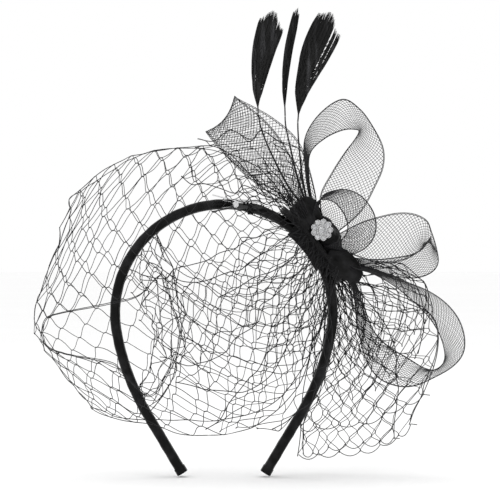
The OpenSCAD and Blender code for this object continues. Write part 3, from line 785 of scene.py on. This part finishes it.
def make_veil():
    """The bubble with its window, and the folds of its spare cloth."""
    rng = np.random.default_rng(11)
    grid = with_pleats(veil_grid(), 7, 2.6, 0.14, 0.4, both_ends=True)
    index = point_numbers(grid)
    grid = relaxed_cloth(grid, np.r_[index[0], index[-1]], growth=0.06, cap=4)
    grid = wander(grid, rng, 1.2, 45)
    front, back = np.split(grid, [grid.shape[0] // 2 + 1])
    outside = ~inside_outline(front[..., 0], front[..., 2], VEIL_WINDOW)
    cut, shown = drawn_to(front, outside, VEIL_WINDOW)
    shown = np.concatenate([shown, np.ones(back.shape[:2], bool)])
    bubble = net_strands(np.concatenate([cut, back]), rng, 0.3, shown)
    parts = [bubble, window_cord(front, VEIL_WINDOW)]
    for name, ribs in VEIL_FOLDS.items():
        across, along = FOLD_CELLS[name]
        patch = with_pleats(rib_surface(ribs, along, across), 3.5, 3.5, 0.3, len(parts))
        patch = relaxed_cloth(patch, point_numbers(patch)[0], growth=0.1, cap=4)
        patch = wander(patch, rng, 2.4, 28)
        parts.append(net_strands(patch, rng, 0.5, edges=(True, name != "turned")))
    veil = add_strands("veil_netting", parts, "netting", "veil_main")


def hem_scallops(row, rng):
    """Loops of thread from node to node along a cut end, and a loose end at its corner."""
    outward = np.array([0.1, 0, -1.0])
    loose_end = [4, 0, -0.5]
    q = np.linspace(0, 1, 9)[:, None]
    lines = []
    for a, b in zip(row[:-2:2], row[2::2]):
        belly = np.sin(math.pi * q) ** 0.8 * rng.uniform(2.2, 3.6)
        lines.append(a + q * (b - a) + belly * outward)
    lines.append(row[-1] + q * loose_end)
    return tubes(np.stack(lines), NET_HEM_R, 4)


def hung_layer(ribs, cells, reach, pleats, drift, rng):
    """A layer of gathered net that drifts as it hangs and is cut off at its reach."""
    grid = with_pleats(rib_surface(ribs, cells[1], cells[0]), *pleats)
    u = np.linspace(0, 1, grid.shape[0])[:, None, None]
    grid = grid + u * np.array(drift)
    grid = relaxed_cloth(grid, point_numbers(grid)[0], growth=0.06, cap=3)
    return wander(grid, rng, 1.6, 35)[:round(reach * cells[1]) + 1]


def make_tail():
    """The tail's layers, some shorter than others, and the bunched cloth under the base."""
    rng = np.random.default_rng(12)
    parts = []
    for k, (lift, reach, rib_count) in enumerate(TAIL_LAYERS):
        pleats = (3.5 + k, 4.0, 0.3, 2.4 * k)
        drift = [0.8 * k - 1, lift, 1.2 * k]
        grid = hung_layer(TAIL_RIBS[:rib_count], TAIL_CELLS, reach, pleats, drift, rng)
        parts += [net_strands(grid, rng, 0.4), hem_scallops(grid[-1], rng)]
    for k, (lift, reach) in enumerate(BUNCH_LAYERS):
        pleats = (4.5 + k, 3.0, 0.4, 1.9 * k)
        drift = [3 * k - 3, lift, 3 * k]
        grid = hung_layer(BUNCH_RIBS, BUNCH_CELLS, reach, pleats, drift, rng)
        parts.append(net_strands(grid, rng, 0.5))
    tail = add_strands("veil_tail_netting", parts, "netting", "veil_tail")


# ---------------------------------------------------------------- crin braid

def make_crin(name, edges, seed):
    """A loop of horsehair braid: strands at 45 degrees both ways, and corded edges."""
    rng = np.random.default_rng(seed)
    dense, strand_steps, cord_steps = 400, 21, 160
    cup_reach, shortest = 0.09, 4
    marks = np.arange(dense + 1)
    rails = [even_steps(edge, dense) for edge in edges]
    length = np.mean([np.linalg.norm(np.diff(rail, axis=0), axis=1).sum() for rail in rails])
    cup_at, cup = CRIN_CUPS.get(name, (0.5, [0, 0, 0]))

    def place(s, t):
        """The points at s along the loop and t across it, both from 0 to 1."""
        at = np.clip(s, 0, 1) * dense
        first, second = [sampled(at, marks, rail) for rail in rails]
        flat = first + t[..., None] * (second - first)
        held = np.sin(math.pi * np.clip(s, 0, 1)) * np.sin(math.pi * t)
        cupped = np.sin(math.pi * t) * np.exp(-((s - cup_at) / cup_reach) ** 2)
        ripple = 0.7 * held * np.sin(2 * math.pi * (3.1 * s + 0.3 * t) + seed)
        return flat + cupped[..., None] * np.array(cup) + ripple[..., None] * np.array([0.3, 1, 0.3])

    t = np.linspace(0, 1, strand_steps)
    reach = CRIN_W / length
    count = int((1 + reach) * length / CRIN_PITCH)
    starts = np.linspace(-reach, 1, count)[:, None]
    lines = []
    for way in (t, 1 - t):
        s = starts + reach * t[None, :] + rng.normal(scale=0.0006, size=(count, 1))
        inside = (s > 0).any(axis=1) & (s < 1).any(axis=1)
        across = np.broadcast_to(way, s.shape)
        lines.append(place(s[inside], across[inside]))
    lines = np.concatenate(lines)
    span = np.linalg.norm(np.diff(lines, axis=1), axis=2).sum(axis=1)
    weave = tubes(lines[span > shortest], CRIN_STRAND_R)
    along = np.linspace(0, 1, cord_steps)
    cords = [place(along, np.full(cord_steps, x)) for x in CRIN_CORDS]
    border = tubes(np.stack(cords), CRIN_EDGE_R, 4)
    loop = add_strands(name + "_braid", [weave, border], "crin", name)


# ---------------------------------------------------------------- headband

def facing(a):
    return np.array([math.cos(a), math.sin(a)])


def band_station(s):
    """Place and outward direction on the band's middle line; s runs 0 to 1 from right tip to left tip."""
    arc_end, flare_end = math.radians(ARC_END), math.radians(FLARE_END)
    flare_len = math.radians(FLARE_END - ARC_END) * FLARE_R
    arc_len = math.radians(180 + 2 * ARC_END) * BAND_R
    total = 2 * LEG_LEN + 2 * flare_len + arc_len
    d = s * total
    mirrored = d > total / 2
    d = min(d, total - d)
    if d < LEG_LEN + flare_len:
        a = flare_end - max(0, d - LEG_LEN) / FLARE_R
        out = facing(-a)
        centre = (BAND_R - FLARE_R) * facing(-arc_end)
        place = centre + FLARE_R * out - max(0, LEG_LEN - d) * np.array([math.sin(a), math.cos(a)])
    else:
        out = facing(-arc_end + (d - LEG_LEN - flare_len) / BAND_R)
        place = BAND_R * out
    if mirrored:
        place, out = place * [-1, 1], out * [-1, 1]
    return place, out


def make_band():
    """The satin sleeve: a padded oval with fine diagonal puckers and a seam along the inside."""
    rng = np.random.default_rng(3)
    steps, sides = 700, 40
    tip_len, tip_share = 0.006, 0.35
    seam_depth, seam_width = 0.22, 0.12
    angle = angles_round(sides)
    seam = -seam_depth * np.exp(-((angle - math.pi) / seam_width) ** 2)
    flat = (BAND_W - BAND_T) / 2 * np.tanh(4 * np.sin(angle))
    waves = rng.uniform(0, 2 * math.pi, 4)
    rings = []
    for i in range(steps + 1):
        s = i / steps
        place, out = band_station(s)
        tip = min(s, 1 - s) / tip_len
        shrink = max(math.sqrt(1 - (1 - min(tip, 1)) ** 2), tip_share)
        pucker = 0.05 * np.sin(310 * s + 2 * angle + waves[0]) + 0.05 * np.sin(197 * s - 3 * angle + waves[1])
        pucker += 0.07 * np.sin(61 * s + angle + waves[2]) * np.sin(23 * s + waves[3])
        r = BAND_T / 2 - 0.1 + pucker + seam
        x = r * np.cos(angle) * shrink
        y = (r * np.sin(angle) + flat) * shrink
        rings.append(np.stack([place[0] + x * out[0], y, place[1] + x * out[1]], axis=1))
    faces = flipped(ring_faces(np.arange(steps) * sides, sides))
    band = add_object("band_satin", np.concatenate(rings), faces, "satin", "headband_cover")
    inward, sideways = -(BAND_T / 2 - seam_depth), 0.25
    seam_line = []
    for i in range(4, 2 * steps - 3):
        place, out = band_station(i / (2 * steps))
        side = sideways if i % 2 else -sideways
        seam_line.append([place[0] + inward * out[0], side, place[1] + inward * out[1]])
    add_strands("band_seam_thread", [tubes([seam_line], 0.12)], "thread")


# ---------------------------------------------------------------- softened CAD solids

def softened(node, name, finish, voxel, ruffle, scale, rounding=4):
    """A soft piece from a CAD solid: remeshed evenly, its edges relaxed and its surface ruffled."""
    obj = new_object(name, NODES[node].data.copy())
    obj.data.materials.clear()
    remesh = obj.modifiers.new("remesh", "REMESH")
    remesh.mode = "VOXEL"
    remesh.voxel_size = voxel * MM
    smooth = obj.modifiers.new("smooth", "SMOOTH")
    smooth.factor = 0.5
    smooth.iterations = rounding
    texture = bpy.data.textures.new(name, "CLOUDS")
    texture.noise_scale = scale * MM
    texture.noise_depth = 3
    displace = obj.modifiers.new("ruffle", "DISPLACE")
    displace.texture = texture
    displace.texture_coords = "LOCAL"
    displace.strength = ruffle * MM
    displace.mid_level = 0.5
    done = obj.evaluated_get(bpy.context.evaluated_depsgraph_get())
    mesh = bpy.data.meshes.new_from_object(done)
    obj.modifiers.clear()
    obj.data = mesh
    obj.data.materials.append(MAT[finish])
    mesh.polygons.foreach_set("use_smooth", np.full(len(mesh.polygons), True))
    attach(obj, BODY)
    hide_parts(node)


# ---------------------------------------------------------------- base, knot and leaves

def base_to_row(points):
    """Points in the base's own axes (along the band, front to back, outwards) in the row frame."""
    a = math.radians(BASE_ANGLE)
    out = np.array([math.cos(a), 0, math.sin(a)])
    along = np.array([math.sin(a), 0, -math.cos(a)])
    points = np.asarray(points, float)
    return points[..., :1] * along + points[..., 1:2] * [0, 1, 0] + points[..., 2:] * out


def oval_edge(angle, length, width):
    """The point of a straight-sided oval that faces each angle."""
    r = width / 2
    straight = (length - width) / 2
    x = straight * np.tanh(3 * np.cos(angle)) / math.tanh(3) + r * np.cos(angle)
    return x, r * np.sin(angle)


def make_base():
    """Satin drawn over the blank, with gathers that run in from its rim."""
    rng = np.random.default_rng(5)
    sides, rings, top_rings = 160, 26, 20
    rim_share, rim_drop = 0.3, 3.6
    tuck_from, tuck_share, tuck_depth = 0.7, 0.3, 0.04
    angle = angles_round(sides)
    x, y = oval_edge(angle, BASE_LEN, BASE_W)
    gathers = sum(a * (crease(k * angle + p) - CREASE_LEVEL) for a, k, p in
                  zip((1.2, 0.9, 0.6), (18, 30, 46), rng.uniform(0, 6, 3)))
    points = []
    for i in range(rings + 1):
        f = i / top_rings
        inside = min(f, 1.0)
        px, py = x * inside, y * inside
        height = SEAT_R - DOME_R + np.sqrt((DOME_R + BASE_TOP) ** 2 - px ** 2 - py ** 2)
        height = height + 0.35 * gathers * inside ** 3
        if f > 1:
            drop = (f - 1) / rim_share
            height = height - rim_drop * drop
            tuck = 1 - tuck_depth * max(0, drop - tuck_from) / tuck_share
            px, py = px * tuck, py * tuck
        points.append(np.stack([px, py, height], axis=1))
    faces = ring_faces(np.arange(rings) * sides, sides)
    add_object("base_cover", base_to_row(np.concatenate(points)), faces, "satin", "base_satin")


def make_knot():
    """The padded satin knot: folds that spiral in to its crown, then settle by cloth simulation."""
    rng = np.random.default_rng(8)
    rings, sides = 40, 96
    phi = np.linspace(0.12, math.pi / 2 + 0.05, rings + 1)[:, None]
    theta = angles_round(sides)[None, :]
    phases = rng.uniform(0, 6, 3)
    folds = crease(5 * theta + 2.2 * phi + phases[0]) + 0.7 * crease(8 * theta - 3 * phi + phases[1])
    folds += 0.35 * np.sin(4 * theta + 5 * phi + phases[2])
    r = KNOT_R - 0.3 + 1.3 * (folds - CREASE_LEVEL) * np.sin(phi) ** 0.7
    grid = np.stack([r * np.sin(phi) * np.cos(theta), r * np.sin(phi) * np.sin(theta),
                     r * np.cos(phi) + SEAT_R + BASE_TOP - 0.6], axis=-1)
    grid = base_to_row(np.concatenate([grid, grid[:, :1]], axis=1))
    index = point_numbers(grid)
    edges = np.r_[index[0], index[-1], index[:, 0], index[:, -1]]
    grid = relaxed_cloth(grid, edges, frames=10, growth=0.1, cap=1.2)
    knot = add_object("knot_satin", grid.reshape(-1, 3), grid_faces(grid), "satin", "satin_knot")


def make_leaf(name, rails, seed):
    """A folded satin leaf: two layers that meet in a soft fold along the outer edge, pleated at the root."""
    rng = np.random.default_rng(seed)
    pleat_count, pleat_slant = 3.2, 0.15
    top = rib_surface(rails, 40, 36)
    normal = grid_normals(top)
    t = np.linspace(0, 1, top.shape[1])[None, :]
    s = np.linspace(0, 1, top.shape[0])[:, None]
    belly = 1.5 * np.sin(math.pi * t) ** 0.6 * np.sin(math.pi * np.clip(s, 0.05, 0.95)) ** 0.5
    wave = crease(2 * math.pi * pleat_count * (t + pleat_slant * s) + rng.uniform(0, 6)) - CREASE_LEVEL
    pleats = 1.5 * (1 - 0.8 * s) * wave
    upper = top + (belly + pleats)[..., None] * normal
    lower = top + (-0.4 * belly + 0.8 * pleats)[..., None] * normal
    both = np.concatenate([upper, lower[:, ::-1], upper[:, :1]], axis=1)
    leaf = add_object(name + "_fold", both.reshape(-1, 3), flipped(grid_faces(both)), "satin", name)
    solid = leaf.modifiers.new("thickness", "SOLIDIFY")
    solid.thickness = 0.3 * MM


# ---------------------------------------------------------------- feathers

def make_quill(name, route):
    """A stripped quill, thick at the binding and fine at the plume."""
    steps = 60
    radius = np.linspace(0.75, 0.42, steps + 1)[None, :]
    add_object(name + "_stem", *tubes([even_steps(route, steps)], radius, 10), "feather", name)


def make_plume(name, route, widths, seed):
    """A trimmed plume: barbs that run up from the rachis side by side and part into tufts at the top."""
    rng = np.random.default_rng(seed)
    steps, barb_steps = 200, 14
    spread_len, narrowing, fray, uneven = 0.2, 0.22, 0.03, 0.014
    marks = np.arange(steps + 1)
    spine = even_steps(route, steps)
    width = spline(np.array(widths, float)[:, None], np.linspace(0, len(widths) - 1, steps + 1))[:, 0]
    sideways = unit(np.cross([[0.0, 1.0, 0.0]], unit(np.gradient(spine, axis=0))))
    q = np.linspace(0, 1, barb_steps)
    barbs = []
    centres = [(low + high) / 2 for low, high, _, _ in TUFTS[name]]
    tips = [tip for _, _, tip, _ in TUFTS[name]]
    for low, high, tip, parting in TUFTS[name]:
        count = int(250 * (high - low) * max(widths) / 8) + 8
        for g in np.linspace(low, high, count):
            root = 0.62 * rng.uniform(0, 1) ** 1.3
            within = (g - (low + high) / 2) / (high - low) * 2
            top = np.interp(g, centres, tips) - rng.exponential(uneven)
            t = root + (top - root) * q
            spread = np.clip((t - root) / spread_len, 0, 1)
            side = (2 * g - 1) * spread * spread * (3 - 2 * spread)
            parted = np.clip((t - parting) / (tip - parting), 0, 1)
            side = side - within * np.sqrt(parted) * narrowing * (high - low)
            side = side + parted * rng.normal(scale=fray)
            at = t * steps
            reach = (side * np.interp(at, marks, width))[:, None]
            depth = rng.uniform(-0.5, 0.5) + 0.7 * side ** 2
            place = sampled(at, marks, spine) + reach * sampled(at, marks, sideways)
            barbs.append(place - depth[:, None] * np.array([0, 1.0, 0]))
    thick = np.interp(q, [0, 0.1, 0.85, 1], [0.12, 0.26, 0.2, 0.03])[None, :]
    kept = int(steps * 0.9)
    rachis = tubes(spine[None, :kept], np.linspace(0.45, 0.14, kept)[None], 8)
    add_strands(name + "_barbs", [tubes(np.stack(barbs), thick), rachis], "feather", name)


def make_binding():
    """Thread wound round the three quills."""
    middle, tilt = [50.6, 0, 65.5], math.radians(-25)
    turns, steps_a_turn, half_len = 9, 24, 1.5
    a = np.arange(turns * steps_a_turn + 1) * 2 * math.pi / steps_a_turn
    up = np.array([math.sin(tilt), 0, math.cos(tilt)])
    side = np.array([math.cos(tilt), 0, -math.sin(tilt)])
    height = np.linspace(-half_len, half_len, len(a))
    r = 3.15 + 0.12 * np.sin(5 * a)
    line = np.array(middle) + height[:, None] * up
    line = line + (r * np.cos(a))[:, None] * side + (r * np.sin(a))[:, None] * np.array([0, 1.0, 0])
    add_object("quill_binding", *tubes([line], 0.22, 5), "thread", "feather_binding")


# ---------------------------------------------------------------- clip spring

def make_spring():
    """One wire, which rides on no body: a leg, three coils round the pin and a leg that lies along the moving
    jaw.
    """
    turns, coil_r, coil_steps, half_width, wire_r = 3, 1.2, 120, 0.8, 0.25
    slope, lean = math.radians(CLIP_SLOPE), math.radians(8)
    a = np.linspace(0, 2 * math.pi * turns + math.pi, coil_steps)
    across = np.linspace(-half_width, half_width, coil_steps)
    coils = np.stack([-coil_r * np.sin(a), across, -coil_r * np.cos(a)], axis=1)
    reach = np.linspace(8, 0.6, 24)[:, None]
    lower = coils[0] + reach * [-math.cos(lean), 0, -math.sin(lean)]
    upper = coils[-1] + reach[::-1] * [-math.cos(lean), 0, math.sin(lean)]
    wire = np.concatenate([lower, coils, upper])
    x = wire[:, 0] * math.cos(slope) + wire[:, 2] * math.sin(slope)
    z = wire[:, 2] * math.cos(slope) - wire[:, 0] * math.sin(slope)
    wire = np.stack([x, wire[:, 1], z], axis=1) + CLIP_PIVOT
    spring = add_object("jaw_spring", *tubes([wire], wire_r, 8), "spring_steel", "clip_spring", body=None)
    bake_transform(spring)


# ---------------------------------------------------------------- brooch

def box_middle(node):
    low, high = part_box(node)
    return np.array((low + high) / 2) / MM


def level_facing(a):
    return np.array([math.cos(a), 0, math.sin(a)])


def level_ring(r, y, a):
    """Points at these angles round the Y axis."""
    return np.stack([r * np.cos(a), np.full(len(a), y), r * np.sin(a)], axis=1)


def gem(centre, radius, turn):
    """A cut stone facing -Y: table, crown, girdle and pavilion, all in flat facets."""
    sides = 8
    rows = []
    for share, depth, shift in ((0.52, 0.42, 0), (0.82, 0.27, 0.5), (1, 0.06, 0), (1, 0.0, 0.5)):
        a = (np.arange(sides) + shift) * 2 * math.pi / sides + turn
        rows.append(level_ring(share * radius, -depth * radius, a))
    points = np.concatenate([*rows, [[0, -0.42 * radius, 0]], [[0, 0.5 * radius, 0]]]) + centre
    faces = []
    for level, shift in enumerate((0, 1, 0)):
        here, below = level * sides, (level + 1) * sides
        for k in range(sides):
            a, b = here + k, here + (k + 1) % sides
            c, d = below + (k + shift) % sides, below + (k + 1 + shift) % sides
            faces += [[a, c, b], [b, c, d]]
    crown, point = 4 * sides, 4 * sides + 1
    for k in range(sides):
        faces.append([crown, k, (k + 1) % sides])
        faces.append([point, 3 * sides + (k + 1) % sides, 3 * sides + k])
    return points, np.array(faces)


def setting(centre, radius, prongs, turn):
    """A cup with a rolled rim and small prongs over the stone's girdle."""
    steps, rim_share = 33, 1.1
    rim = level_ring(radius * rim_share, 0, np.linspace(0, 2 * math.pi, steps)) + centre
    lower = rim + [0, 0.35, 0]
    parts = [tubes([rim], 0.16, 6), tubes([lower], 0.2, 6)]
    prong_line = [(1.12, 0.3), (1.14, -0.1), (1.05, -0.35), (0.86, -0.45)]
    for k in range(prongs):
        out = level_facing(turn + k * 2 * math.pi / prongs)
        line = [centre + radius * share * out + [0, y, 0] for share, y in prong_line]
        parts.append(tubes([line], [[0.2, 0.19, 0.17, 0.1]], 5))
    return joined(*parts)


def back_plate(middle, petals, inner, outer, thickness):
    """A thin plate whose edge swells behind each petal, dished at the middle."""
    sides = 144
    a = angles_round(sides)
    edge = inner + (outer - inner) * np.abs(np.cos(petals * a / 2)) ** 0.6
    section = [(0.02, 0.5), (0.5, 0.35), (0.94, 0), (1, 0.1),
               (1, thickness), (0.94, thickness + 0.1), (0.02, 0.9)]
    rows = [level_ring(share * edge, y, a) for share, y in section]
    return np.concatenate(rows) + middle, ring_faces(np.arange(len(rows) - 1) * sides, sides)


def make_brooch():
    """Replaces the plain stones, cups and plate with cut stones in pronged cups, on a scalloped plate."""
    centre = box_middle("brooch_centre_stone")
    petal_y = box_middle("brooch_petal_stones")[1]
    count, ring_r, petal_r, centre_r = 9, 4.9, 1.55, 2.5
    small_ring_r, small_r = 2.95, 0.5
    cups = [setting(centre + [0, 0.3, 0], centre_r, 6, 0.1)]
    petals = []
    for k in range(count):
        a = 2 * math.pi * k / count
        at = np.array([centre[0], petal_y, centre[2]]) + ring_r * level_facing(a)
        petals.append(gem(at, petal_r * 1.02, a))
        cups.append(setting(at + [0, 0.25, 0], petal_r, 4, a + 0.4))
        between = a + math.pi / count
        small = np.array([centre[0], petal_y - 0.1, centre[2]]) + small_ring_r * level_facing(between)
        petals.append(gem(small, small_r, between))
    low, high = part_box("brooch_plate")
    plate_at = np.array([centre[0], low[1] / MM, centre[2]])
    plate = back_plate(plate_at, count, 5.2, 6.4, (high[1] - low[1]) / MM)
    add_object("scalloped_plate", *plate, "spring_steel", "brooch_plate", slot="silver_setting")
    centre_gem = gem(centre, centre_r * 0.98, 0.2)
    add_object("centre_stone", *centre_gem, "stone", "brooch_centre_stone", smooth=False)
    add_object("petal_stones", *joined(*petals), "stone", "brooch_petal_stones", smooth=False)
    add_object("stone_cups", *joined(*cups), "silver_setting", "brooch_cups")


# ---------------------------------------------------------------- stitches

def make_gather_stitches():
    """Overcast stitches that catch the veil's gathered edges to the base, front and back."""
    stitches, lift = 54, 1.25
    edge = np.array([rib[0] for rib in VEIL_RIBS], float)
    lines = []
    for side in (1, -1):
        path = even_steps(edge * [1, side, 1], stitches)
        out = np.array([0.0, -side, 0.0])
        for a, b in zip(path, path[1:]):
            toward = unit(a * [1, 0, 1])
            line = [a + 0.39 * out - toward, a + lift * out - 0.3 * toward,
                    b + lift * out + 0.6 * toward, b + 0.2 * out + 1.5 * toward]
            lines.append(even_steps(line, 8))
    add_object("gather_stitches", *tubes(lines, 0.2, 5), "thread", "veil_stitches")


def make_knot_stitches():
    """Threads over the roots of the crin loops, round the foot of the knot."""
    rng = np.random.default_rng(21)
    count = 22
    lines = []
    for k in range(count):
        a = 2 * math.pi * k / count + rng.uniform(-0.1, 0.1)
        lean = rng.uniform(-0.25, 0.25)
        line = []
        for q in np.linspace(0, 1, 5):
            phi = 1.42 - 0.42 * q
            r = KNOT_R + 0.3 + 0.5 * math.sin(math.pi * q)
            b = a + lean * q
            line.append([r * math.sin(phi) * math.cos(b), r * math.sin(phi) * math.sin(b),
                         r * math.cos(phi) + SEAT_R + BASE_TOP - 0.4])
        lines.append(even_steps(base_to_row(line), 8))
    add_object("root_stitches", *tubes(lines, 0.22, 5), "thread", "crin_stitches")


def make_saddle_stitches():
    """Running stitches that sew the felt saddle's two walls to the lining."""
    r, wall_y = SEAT_R - 1.1, 6.9
    lines = []
    for side in (-1, 1):
        for k in np.linspace(-11, 11, 12):
            line = []
            for q, height in ((0, -0.9), (0.3, 0.2), (0.7, 0.2), (1, -0.9)):
                a = math.radians(BASE_ANGLE + k + 1.2 * (q - 0.5))
                line.append([r * math.cos(a), side * (wall_y + height * 0.3), r * math.sin(a)])
            lines.append(even_steps(line, 6))
    add_object("lining_stitches", *tubes(lines, 0.2, 5), "thread", "saddle_stitches")


# ---------------------------------------------------------------- CAD pieces that keep their shape

def dress_cad():
    finishes = {
        "headband_core": "felt", "headband_padding": "felt", "base_buckram": "felt",
        "clip_lower_jaw": "dark_steel", "clip_upper_jaw": "clip_steel", "clip_pin": "clip_steel",
        "brooch_shank": "silver_setting",
    }
    for node, finish in finishes.items():
        NODES[node].data.materials.clear()
        NODES[node].data.materials.append(MAT[finish])


# ---------------------------------------------------------------- floor, light and camera

def stage_material():
    mat, tree, shader = new_material("pale_floor", {"Roughness": 0.9})
    tone = noise(tree, object_coords(tree, scale=1), 3)
    set_colour(tree, shader, tone, (0.97, 0.97, 0.97), (0.99, 0.99, 0.99))
    return mat


def make_stage():
    """A wide pale floor that meets the equally pale surroundings at the horizon."""
    half, gap = 14, 0.0005
    floor_z = CAD_BOX[0][2] - gap
    corners = [(x * half, y * half, floor_z) for x, y in ((-1, -1), (1, -1), (1, 1), (-1, 1))]
    mesh = bpy.data.meshes.new("floor")
    mesh.from_pydata(corners, [], [(0, 1, 2, 3)])
    mesh.materials.append(stage_material())
    new_object("floor", mesh)


def add_light(name, place, target, size, power):
    light = bpy.data.lights.new(name, "AREA")
    light.size = size
    light.energy = power
    obj = new_object(name, light)
    obj.location = place
    obj.rotation_euler = (Vector(target) - Vector(place)).to_track_quat("-Z", "Y").to_euler()


def make_light():
    world = bpy.data.worlds.new("studio")
    world.use_nodes = True
    world.node_tree.nodes["Background"].inputs["Color"].default_value = (1, 1, 1, 1)
    world.node_tree.nodes["Background"].inputs["Strength"].default_value = 1.0
    bpy.context.scene.world = world
    middle = (0.016, 0, 0.04)
    add_light("key", (-0.9, -1.4, 1.3), middle, 1.0, 4)
    add_light("fill", (1.3, -1.2, 0.5), middle, 1.0, 2)
    add_light("top", (0.1, 0.2, 1.6), middle, 0.8, 3)
    bpy.context.scene.view_settings.view_transform = "Standard"


def make_camera():
    """Straight on, far enough away to look almost without perspective."""
    distance, view_width = 1.5, 0.307
    camera = bpy.data.cameras.new("camera")
    camera.sensor_width = 36
    camera.lens = camera.sensor_width * distance / view_width
    obj = new_object("camera", camera)
    obj.location = (0.016, -distance, 0.0387)
    obj.rotation_euler = (math.pi / 2, 0, 0)
    bpy.context.scene.camera = obj


make_camera()
make_light()
make_stage()
dress_cad()
make_band()
make_base()
make_knot()
softened("base_felt", "lining_felt", "felt", 0.45, 0.25, 0.8)
softened("band_saddle", "saddle_felt", "felt", 0.4, 0.25, 0.8)
softened("clip_strap", "strap_satin", "satin", 0.16, 0.14, 1.6)
softened("tip_fold_left", "tip_satin_left", "satin", 0.15, 0.12, 1.2, rounding=30)
softened("tip_fold_right", "tip_satin_right", "satin", 0.15, 0.12, 1.2, rounding=30)
make_gather_stitches()
make_knot_stitches()
make_saddle_stitches()
for number, (loop_name, loop_edges) in enumerate(LOOPS.items()):
    make_crin(loop_name, loop_edges, 30 + number)
for number, (leaf_name, leaf_rails) in enumerate(LEAVES.items()):
    make_leaf(leaf_name, leaf_rails, 40 + number)
for quill_name, quill_route in QUILLS.items():
    make_quill(quill_name, quill_route)
for number, (plume_name, (plume_route, plume_widths)) in enumerate(PLUMES.items()):
    make_plume(plume_name, plume_route, plume_widths, 60 + number)
make_binding()
make_spring()
make_brooch()
make_veil()
make_tail()
